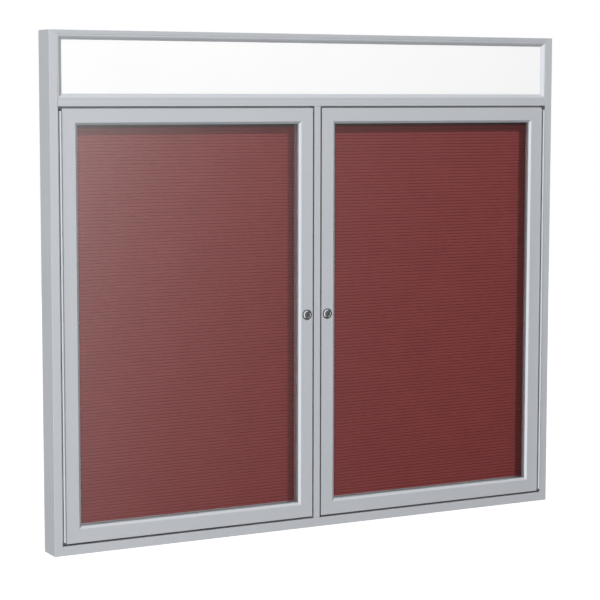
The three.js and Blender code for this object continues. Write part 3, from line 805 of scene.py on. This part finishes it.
def felt_outline():
    """The felted face seen from its end: level ridges between grooves that narrow towards their floor, with
    every edge eased as felt over it is."""
    height = PANEL_TOP - PANEL_BOTTOM
    count = int((height - GROOVE_PITCH) // GROOVE_PITCH)
    centre = (height - (count - 1) * GROOVE_PITCH) / 2 + GROOVE_PITCH * np.arange(count)
    offset = np.array([-GROOVE_MOUTH, -GROOVE_FLOOR_WIDTH, GROOVE_FLOOR_WIDTH, GROOVE_MOUTH]) / 2
    depth = LETTER_FRONT + np.array([0, GROOVE_DEPTH, GROOVE_DEPTH, 0])
    grooves = np.stack(
        [(centre[:, None] + offset).ravel(), np.broadcast_to(depth, (count, 4)).ravel()], axis=-1
    )
    ends = [(height, LETTER_FRONT), (height, LETTER_BACK), (0, LETTER_BACK), (0, LETTER_FRONT)]
    return rounded(np.concatenate([grooves, ends]), radius=0.8, steps=3)


def drilled(
    piece, across, heights, hand, body="cabinet", radius=FIXING_RADIUS, front=LETTER_FRONT, back=LETTER_BACK
):
    """Cuts holes through a piece and applies the cut. They are cylinders from front to back, with an
    overrun at both ends."""
    shells = [turned([(radius, front - OVERRUN), (radius, back + OVERRUN)], across, h, 48) for h in heights]
    tool = add_piece(f"{piece.name}_drill", shells, piece.data.materials[0], body, hand)
    tool.modifiers.clear()
    piece.modifiers.clear()
    cut = piece.modifiers.new("holes", "BOOLEAN")
    cut.operation = "DIFFERENCE"
    cut.solver = "EXACT"
    cut.object = tool
    bpy.context.view_layer.update()
    done = bpy.data.meshes.new_from_object(piece.evaluated_get(bpy.context.evaluated_depsgraph_get()))
    piece.modifiers.clear()
    piece.data = done
    bpy.data.objects.remove(tool)
    even_shading(piece)


fixing_heights = (PANEL_BOTTOM + FIXING_INSET, PANEL_TOP - FIXING_INSET)
for side, hand in SIDES:
    face = add_piece(
        f"{side}_felted_face",
        [level(felt_outline(), PANEL_BOTTOM, 1, PANEL_OUTER, PANEL_INNER)],
        felt,
        "cabinet",
        hand,
        [f"{side}_letter_face"],
    )
    drilled(face, PANEL_OUTER + FIXING_INSET, fixing_heights, hand)

    # Thin strips that hold the letter panel along its foot and its head. The head strip's dark vinyl is
    # painted shade, for the shadow along the felt's top edge under the doors' top rails.
    for word, edge, rise, reach in (
        ("foot", PANEL_BOTTOM, 1, FOOT_REACH),
        ("head", PANEL_TOP, -1, HEAD_REACH),
    ):
        corners = [(0, TRIM_FRONT), (reach, TRIM_FRONT), (reach, DIVIDER_BACK), (0, DIVIDER_BACK)]
        strip = rounded(corners, radius=0.4)
        trim = add_piece(
            f"{side}_panel_{word}_strip",
            [level(strip, edge, rise, PANEL_OUTER, MIDDLE - DIVIDER_HALF - SEAT_GAP)],
            head_strip_painted_shade if word == "head" else level_satin,
            "cabinet",
            hand,
        )
        fixing_height = edge + rise * FIXING_INSET
        drilled(trim, PANEL_OUTER + FIXING_INSET, [fixing_height], hand)

# Door seals, on the front of the door stops

seal_inner = MIDDLE - MULLION_HALF - MULLION_LIP
SEAL_OUTLINE = rounded(
    [
        (-SEAL_WIDTH, DOOR_THICKNESS + SEAT_GAP),
        (0, DOOR_THICKNESS + SEAT_GAP),
        (0, STOP_FRONT - SEAT_GAP),
        (-SEAL_WIDTH, STOP_FRONT - SEAT_GAP),
    ],
    radius=0.7,
    steps=5,
)
for side, hand in SIDES:
    add_piece(
        f"{side}_foam_seal",
        [mitred_ring(SEAL_OUTLINE, STOP_REACH, seal_inner, BOTTOM_STOP_REACH, OPENING_TOP)],
        seal_foam,
        "cabinet",
        hand,
        [f"{side}_door_seal"],
    )

# Doors

DOOR_OUTLINE = rounded(
    [
        (0, 0),
        (DOOR_FACE, 0),
        (MEMBER_WIDTH, DOOR_BEVEL_DROP),
        (MEMBER_WIDTH, GASKET_FRONT - SEAT_GAP),
        (GASKET_GROOVE_FLOOR, GASKET_FRONT - SEAT_GAP),
        (GASKET_GROOVE_FLOOR, GASKET_BACK + SEAT_GAP),
        (MEMBER_WIDTH, GASKET_BACK + SEAT_GAP),
        (MEMBER_WIDTH, DOOR_THICKNESS),
        (0, DOOR_THICKNESS),
    ]
)
slot_edge = PANE_INSET - SEAT_GAP
GASKET_OUTLINE = rounded(
    [
        (GASKET_INSET, GASKET_FRONT),
        (MEMBER_WIDTH - SEAT_GAP, GASKET_FRONT),
        (MEMBER_WIDTH - SEAT_GAP, PANE_FRONT - PANE_PLAY),
        (slot_edge, PANE_FRONT - PANE_PLAY),
        (slot_edge, PANE_BACK + PANE_PLAY),
        (MEMBER_WIDTH - SEAT_GAP, PANE_BACK + PANE_PLAY),
        (MEMBER_WIDTH - SEAT_GAP, GASKET_BACK),
        (GASKET_INSET, GASKET_BACK),
    ]
)


def pane_shell():
    """The pane: its outline at the front and the back is drawn in by a small arris, and between them it
    has its full size."""
    arris = PANE_ARRIS
    a0, a1 = DOOR_OUTER + PANE_INSET, DOOR_INNER - PANE_INSET
    h0, h1 = DOOR_BOTTOM + PANE_INSET, DOOR_TOP - PANE_INSET
    rows = []
    for inset, depth in (
        (arris, PANE_FRONT),
        (0, PANE_FRONT + arris),
        (0, PANE_BACK - arris),
        (arris, PANE_BACK),
    ):
        rows.append(
            [
                (a0 + inset, depth, h0 + inset),
                (a1 - inset, depth, h0 + inset),
                (a1 - inset, depth, h1 - inset),
                (a0 + inset, depth, h1 - inset),
            ]
        )
    return np.array(rows).reshape(-1, 3), capped_rings(4, 4)


for side, hand in SIDES:
    body = f"{side}_door"
    low, high = DOOR_BOTTOM + MITRE_GAP, DOOR_TOP - MITRE_GAP
    start, end = DOOR_OUTER + MITRE_GAP, DOOR_INNER - MITRE_GAP
    members = (
        ("hinge_stile", upright(DOOR_OUTLINE, DOOR_OUTER, low, high, 1, 1), upright_satin),
        ("lock_stile", upright(DOOR_OUTLINE, DOOR_INNER, low, high, 1, 1, -1), upright_satin),
        ("bottom_rail", level(DOOR_OUTLINE, DOOR_BOTTOM, 1, start, end, 1, 1), level_satin),
        ("top_rail", level(DOOR_OUTLINE, DOOR_TOP, -1, start, end, 1, 1), level_satin),
    )
    for name, shell, metal in members:
        member = add_piece(
            f"{side}_door_{name}_extrusion",
            [shell],
            metal,
            body,
            hand,
            [f"{side}_door_{name}"],
        )
        if name == "lock_stile":
            drilled(member, LOCK_ACROSS, [LOCK_HEIGHT], hand, body, LOCK_HOLE_RADIUS, 0.0, DOOR_THICKNESS)
    add_piece(
        f"{side}_clear_sheet",
        [pane_shell()],
        pane_clear,
        body,
        hand,
        [f"{side}_door_pane"],
        smooth=20.0,
    )
    add_piece(
        f"{side}_vinyl_gasket",
        [mitred_ring(GASKET_OUTLINE, DOOR_OUTER, DOOR_INNER, DOOR_BOTTOM, DOOR_TOP)],
        gasket_vinyl,
        body,
        hand,
        [f"{side}_door_gasket"],
    )

# Continuous hinges


def rolled_outline(near, far):
    """A rolled knuckle seen from its end. The sheet comes off the leaf, slants to behind the barrel and goes
    round it: u = r cos a towards the leaf and v = r sin a towards the front, with an outer arc of the
    barrel's radius, and an inner arc of the bore's radius back."""
    away = np.sign(far - AXIS_ACROSS)
    outer = np.radians(np.linspace(-78, 236, 30))
    inner = np.radians(np.linspace(236, -110, 30))
    stem = 0.5
    close, wide = abs(near - AXIS_ACROSS), abs(far - AXIS_ACROSS)
    tail = AXIS_DEPTH - LEAF_FRONT - 1.5
    arcs = ((BARREL_RADIUS, outer), (PIN_BORE, inner))
    ring = [np.stack([r * np.cos(a), r * np.sin(a)], axis=-1) for r, a in arcs]
    leg = [(-stem, tail + 3.2), (close, tail + 0.6), (close, tail)]
    leg += [(wide, tail), (wide, tail + 1.2), (stem, tail + 3.7)]
    places = np.concatenate([*ring, leg])
    return np.stack([AXIS_ACROSS + away * places[:, 0], AXIS_DEPTH - places[:, 1]], axis=-1)


def hinge_leaf(near, far, first):
    """The leaf's flat plate, and every second knuckle of the barrel."""
    low, high = min(near, far), max(near, far)
    corners = [(low, PLATE_FRONT), (high, PLATE_FRONT), (high, LEAF_BACK), (low, LEAF_BACK)]
    flat = rounded(corners, radius=0.2)
    shells = [upright(flat, 0, HINGE_BOTTOM, HINGE_TOP)]
    pitch = (HINGE_TOP - HINGE_BOTTOM) / KNUCKLES
    outline = rolled_outline(near, far)
    for i in range(first, KNUCKLES, 2):
        bottom = HINGE_BOTTOM + i * pitch + KNUCKLE_GAP / 2
        shells.append(upright(outline, 0, bottom, bottom + pitch - KNUCKLE_GAP))
    return shells


for side, hand in SIDES:
    fixed = FRAME_FACE + SEAT_GAP
    moving = DOOR_OUTER - SEAT_GAP
    add_piece(
        f"{side}_hinge_fixed_leaf",
        hinge_leaf(fixed + LEAF_THICKNESS, fixed, 0),
        hinge_steel,
        "cabinet",
        hand,
        [f"{side}_hinge_frame_leaf"],
    )
    add_piece(
        f"{side}_hinge_moving_leaf",
        hinge_leaf(moving - LEAF_THICKNESS, moving, 1),
        hinge_steel,
        f"{side}_door",
        hand,
        [f"{side}_hinge_door_leaf"],
    )

SCREW_HEIGHTS = np.linspace(
    HINGE_BOTTOM + HINGE_SCREW_INSET, HINGE_TOP - HINGE_SCREW_INSET, HINGE_SCREWS
)
for side, hand in SIDES:
    for word, body, face_across, facing in (
        ("fixed", "cabinet", FRAME_FACE + SEAT_GAP + LEAF_THICKNESS, 1),
        ("moving", f"{side}_door", DOOR_OUTER - SEAT_GAP - LEAF_THICKNESS, -1),
    ):
        spots = [(face_across + facing * SCREW_PROUD, HINGE_SCREW_DEPTH, h) for h in SCREW_HEIGHTS]
        add_piece(
            f"{side}_hinge_{word}_screws",
            screw_heads(spots, HINGE_SCREW_RADIUS, (facing, 0, 0), (0, 1, 0), (0, 0, 1)),
            zinc_plate,
            body,
            hand,
        )

# Screws that hold the back sheet to the flange round the case
rear_across = np.linspace(REAR_SCREW_INSET, BOARD_WIDTH - REAR_SCREW_INSET, REAR_SCREWS_ACROSS)
rear_heights = np.linspace(REAR_SCREW_INSET, BOARD_HEIGHT - REAR_SCREW_INSET, REAR_SCREWS_UP)
rear_places = [(a, h) for a in rear_across for h in (rear_heights[0], rear_heights[-1])]
rear_places += [(a, h) for a in (rear_across[0], rear_across[-1]) for h in rear_heights[1:-1]]
rear_spots = [(a, BOARD_DEPTH + SCREW_PROUD, h) for a, h in rear_places]
add_piece(
    "back_sheet_screws",
    screw_heads(rear_spots, REAR_SCREW_RADIUS, (0, 1, 0), (1, 0, 0), (0, 0, 1)),
    zinc_plate,
    "cabinet",
)

# Locks

# A thin dark washer under the lock head. Its dark ring also stands in as painted shade for the shadow gap at
# the head's rim.
WASHER_PROFILE = [(9.0, -0.3), (11.0, -0.3), (11.15, -0.45), (11.15, -0.8), (10.9, -1.0), (9.0, -1.0)]
LOCK_PROFILE = [
    (PLUG_BORE, -2.3),
    (6.05, -2.8),
    (6.4, -3.1),
    (6.9, -3.22),
    (7.5, -3.2),
    (8.1, -3.0),
    (8.7, -2.65),
    (9.2, -2.15),
    (9.55, -1.6),
    (9.7, -1.05),
    (9.6, -0.7),
    (9.2, -0.35),
    (LOCK_BARREL_RADIUS, -0.3),
    (LOCK_BARREL_RADIUS, LOCK_BARREL_BACK),
    (PLUG_BORE, LOCK_BARREL_BACK),
]


def key_plug(across, height, sides=64):
    """The plug's face and barrel: rings that start at the floor of the key slot, whose outline is a
    rectangle, come up its walls, go out to a circle and run back along the barrel. The ring between
    them is the blend (1 - s) slot + s circle."""
    angle = (np.arange(sides) + 0.5) * 2 * np.pi / sides
    circle = np.stack([np.cos(angle), np.sin(angle)], axis=-1)
    half = np.array(KEY_SLOT_HALVES)
    slot = circle * np.min(half / np.maximum(np.abs(circle), 1e-9), axis=1, keepdims=True)
    rows = [
        (slot * 0.97, KEY_SLOT_FLOOR),
        (slot * 0.97, -2.7),
        (slot * 1.06, -2.86),
        (0.6 * slot + 0.4 * circle * 5.0, -2.92),
        (circle * 5.0, -2.9),
        (circle * 5.35, -2.78),
        (circle * PLUG_RADIUS, -2.5),
        (circle * PLUG_RADIUS, LOCK_BARREL_BACK),
    ]
    places = np.concatenate(
        [np.stack([across + r[:, 0], np.full(sides, d), height + r[:, 1]], axis=-1) for r, d in rows]
    )
    return places, capped_rings(len(rows), sides)


def square_tail(across, height):
    """The plug's square end, which carries the cam: the corners (+-h, +-h) round the axis, eased."""
    half = TAIL_SIDE / 2
    outline = [(-half, -half), (half, -half), (half, half), (-half, half)]
    return plate(rounded(np.array(outline) + (across, height), radius=0.4), TAIL_FRONT, TAIL_BACK)


def ring_nut(across, height, edge=0.3, sides=48):
    """A hexagonal nut with a round bore. Its outer radius is half the flats over cos a, where a is the
    angle to the middle of the nearest flat, and both faces have an eased edge."""
    angle = np.arange(sides) * 2 * np.pi / sides
    outer = NUT_FLATS / 2 / np.cos((angle + np.pi / 6) % (np.pi / 3) - np.pi / 6)
    inner = np.full(sides, NUT_BORE)
    rows = [(inner, NUT_FRONT), (outer - edge, NUT_FRONT), (outer, NUT_FRONT + edge)]
    rows += [(outer, NUT_BACK - edge), (outer - edge, NUT_BACK), (inner, NUT_BACK)]
    rings = [(across + r * np.cos(angle), np.full(sides, d), height + r * np.sin(angle)) for r, d in rows]
    places = np.concatenate([np.stack(ring, axis=-1) for ring in rings])
    return places, ring_faces(len(rows), sides, closed=True)


def cam_outline(across, height):
    """The cam hanging down from its axis: a half circle over the axis, straight sides, and a cut tip."""
    half = CAM_HALF
    reach = MIDDLE - SPINE_HALF - CAM_TIP_GAP - LOCK_ACROSS
    crown = np.linspace(0, np.pi, 17)
    top = np.stack([half * np.cos(crown), half * np.sin(crown)], axis=-1)
    tip = np.array([(-half, half - reach), (-half / 2, -reach), (half / 2, -reach), (half, half - reach)])
    return np.concatenate([top, tip]) + (across, height)


for side, hand in SIDES:
    add_piece(
        f"{side}_lock_head",
        [turned(LOCK_PROFILE, LOCK_ACROSS, LOCK_HEIGHT, hollow=True)],
        lock_nickel,
        f"{side}_door",
        hand,
        [f"{side}_lock_body"],
    )
    add_piece(
        f"{side}_lock_washer",
        [turned(WASHER_PROFILE, LOCK_ACROSS, LOCK_HEIGHT, hollow=True)],
        dark_washer_and_shade,
        f"{side}_door",
        hand,
    )
    add_piece(
        f"{side}_lock_ring_nut",
        [ring_nut(LOCK_ACROSS, LOCK_HEIGHT)],
        lock_nickel,
        f"{side}_door",
        hand,
        [f"{side}_lock_nut"],
    )
    add_piece(
        f"{side}_key_plug",
        [key_plug(LOCK_ACROSS, LOCK_HEIGHT), square_tail(LOCK_ACROSS, LOCK_HEIGHT)],
        plug_nickel,
        f"{side}_lock",
        hand,
        [f"{side}_lock_plug"],
    )
    add_piece(
        f"{side}_stamped_cam",
        [plate(cam_outline(LOCK_ACROSS, LOCK_HEIGHT), CAM_FRONT, CAM_FRONT + CAM_THICKNESS)],
        zinc_plate,
        f"{side}_lock",
        hand,
        [f"{side}_lock_cam"],
    )

# CAD pieces whose shape stays

CAD_FINISHES = {
    "header_panel": header_white,
    "back_sheet": sheet_metal,
    "mullion_spine": upright_satin,
}
for side, hand in SIDES:
    CAD_FINISHES[f"{side}_panel_core"] = core_fibre
    CAD_FINISHES[f"{side}_bottom_corner_key"] = cast_key
    CAD_FINISHES[f"{side}_top_corner_key"] = cast_key
    CAD_FINISHES[f"{side}_hinge_pin"] = hinge_steel
    CAD_FINISHES[f"{side}_lock_cam_screw"] = zinc_plate
    for corner in ("hinge_bottom", "hinge_top", "lock_bottom", "lock_top"):
        CAD_FINISHES[f"{side}_door_{corner}_key"] = cast_key
for name, material in CAD_FINISHES.items():
    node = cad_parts[name]
    node.data.materials.clear()
    node.data.materials.append(material)

# Floor, light and camera

FLOOR_DROP = 1.0
FLOOR_HALF = 14.0
ROOM_SLOPE = (-9.99, -5.97, 5.41)
ROOM_START = -1.196
ROOM_LIMIT = 1.86
ROOM_LEAST = 0.02
PLAIN_LEVEL = 0.2
PLAIN_SLOPE = (0.02, 0.0, 0.12)
REAR_SLOPE = (0.0, 0.5, 0.0)
CAMERA_PLACE = (-2.0382, -3.7468, 0.404)
CAMERA_LENS = 117.7655
CAMERA_TURN = -28.4111
CAMERA_DROP = 5.9566
CAMERA_ROLL = 0.0775


def studio_floor():
    """A grey floor a metre below the board. It glows for the camera alone, so that it looks near white."""
    z = -BOARD_HEIGHT / 2 / METRE - FLOOR_DROP
    corners = [(x * FLOOR_HALF, y * FLOOR_HALF, z) for x, y in ((-1, -1), (1, -1), (1, 1), (-1, 1))]
    mesh = bpy.data.meshes.new("studio_floor")
    mesh.from_pydata(corners, [], [(0, 1, 2, 3)])
    f = Finish("pale_floor")
    speckle = f.noise(f.object, 3.0, 3.0)
    f.join(f.blend(speckle, (0.4, 0.4, 0.4, 1), (0.44, 0.44, 0.44, 1)), f.shader.inputs["Base Color"])
    f.set(Roughness=0.8)
    path = f.add("ShaderNodeLightPath")
    glow = f.add("ShaderNodeEmission")
    glow.inputs["Color"].default_value = (0.9, 0.9, 0.9, 1)
    f.join(path.outputs["Is Camera Ray"], glow.inputs["Strength"])
    both = f.add("ShaderNodeAddShader")
    f.join(f.shader.outputs["BSDF"], both.inputs[0])
    f.join(glow.outputs["Emission"], both.inputs[1])
    f.join(both.outputs["Shader"], f.output.inputs["Surface"])
    mesh.materials.append(f.material)
    floor = bpy.data.objects.new("studio_floor", mesh)
    bpy.context.scene.collection.objects.link(floor)
    floor.visible_glossy = False
    floor.visible_transmission = False


def studio_world():
    """White to the camera, also straight through the panes. In mirrors the light from the direction d is
    exp(d . slope + start), held at a limit, and a little more: a pale room, bright to the upper left and
    in front. Matt surfaces get a plain level with a slight slope, and more light from the wall's side,
    which doesn't reach the board's front."""
    world = bpy.data.worlds.new("studio")
    bpy.context.scene.world = world
    world.use_nodes = True
    tree = world.node_tree
    tree.nodes.clear()

    def add(kind, **settings):
        node = tree.nodes.new(kind)
        for key, value in settings.items():
            setattr(node, key, value)
        return node

    def join(out, into):
        tree.links.new(out, into)

    def maths(operation, first, second=0.0, clamp=False):
        node = add("ShaderNodeMath", operation=operation, use_clamp=clamp)
        for value, socket in zip((first, second), node.inputs):
            if isinstance(value, float):
                socket.default_value = value
            else:
                join(value, socket)
        return node.outputs[0]

    def slope(direction):
        node = add("ShaderNodeVectorMath", operation="DOT_PRODUCT")
        node.inputs[1].default_value = direction
        join(where, node.inputs[0])
        return node.outputs["Value"]

    def background(strength):
        node = add("ShaderNodeBackground")
        node.inputs["Color"].default_value = (1, 1, 1, 1)
        if isinstance(strength, float):
            node.inputs["Strength"].default_value = strength
        else:
            join(strength, node.inputs["Strength"])
        return node.outputs[0]

    def mixed(share, first, second):
        node = add("ShaderNodeMixShader")
        for value, socket in zip((share, first, second), node.inputs):
            join(value, socket)
        return node.outputs[0]

    where = add("ShaderNodeTexCoord").outputs["Generated"]
    path = add("ShaderNodeLightPath").outputs
    room = maths("EXPONENT", maths("ADD", slope(ROOM_SLOPE), ROOM_START))
    room = maths("ADD", maths("MINIMUM", room, ROOM_LIMIT), ROOM_LEAST)
    plain = maths("ADD", slope(PLAIN_SLOPE), PLAIN_LEVEL)
    plain = maths("ADD", plain, maths("MAXIMUM", slope(REAR_SLOPE), 0.0))
    not_scattered = maths("SUBTRACT", 1.0, path["Diffuse Depth"], clamp=True)
    not_mirrored = maths("SUBTRACT", 1.0, path["Glossy Depth"], clamp=True)
    through = maths("MULTIPLY", path["Is Transmission Ray"], maths("MULTIPLY", not_scattered, not_mirrored))
    seen = maths("MAXIMUM", path["Is Camera Ray"], through)
    light = mixed(
        maths("MULTIPLY", path["Is Glossy Ray"], not_scattered), background(plain), background(room)
    )
    join(mixed(seen, light, background(1.0)), add("ShaderNodeOutputWorld").inputs["Surface"])


def soft_lamp(name, place, size, watts):
    """A square lamp that faces the middle of the board and doesn't show in mirrors or through the panes."""
    lamp = bpy.data.lights.new(name, "AREA")
    lamp.shape = "SQUARE"
    lamp.size = size
    lamp.energy = watts
    holder = bpy.data.objects.new(name, lamp)
    bpy.context.scene.collection.objects.link(holder)
    holder.location = place
    holder.rotation_euler = (-Vector(place)).to_track_quat("-Z", "Y").to_euler()
    holder.visible_glossy = False
    holder.visible_transmission = False


studio_floor()
studio_world()
soft_lamp("key_lamp", (0.88, -4.4, 2.9), size=0.2, watts=128.0)
soft_lamp("fill_lamp", (-2.0, -3.6, 0.9), size=0.7, watts=55.5)

camera = bpy.data.cameras.new("camera")
camera.sensor_width = 36.0
camera.lens = CAMERA_LENS
camera.clip_end = 100.0
eye = bpy.data.objects.new("camera", camera)
bpy.context.scene.collection.objects.link(eye)
turn = Matrix.Rotation(math.radians(CAMERA_TURN), 4, "Z")
tilt = Matrix.Rotation(math.radians(90 - CAMERA_DROP), 4, "X")
roll = Matrix.Rotation(math.radians(CAMERA_ROLL), 4, "Z")
eye.matrix_world = Matrix.Translation(CAMERA_PLACE) @ turn @ tilt @ roll
bpy.context.scene.camera = eye
bpy.context.scene.view_settings.view_transform = "Standard"
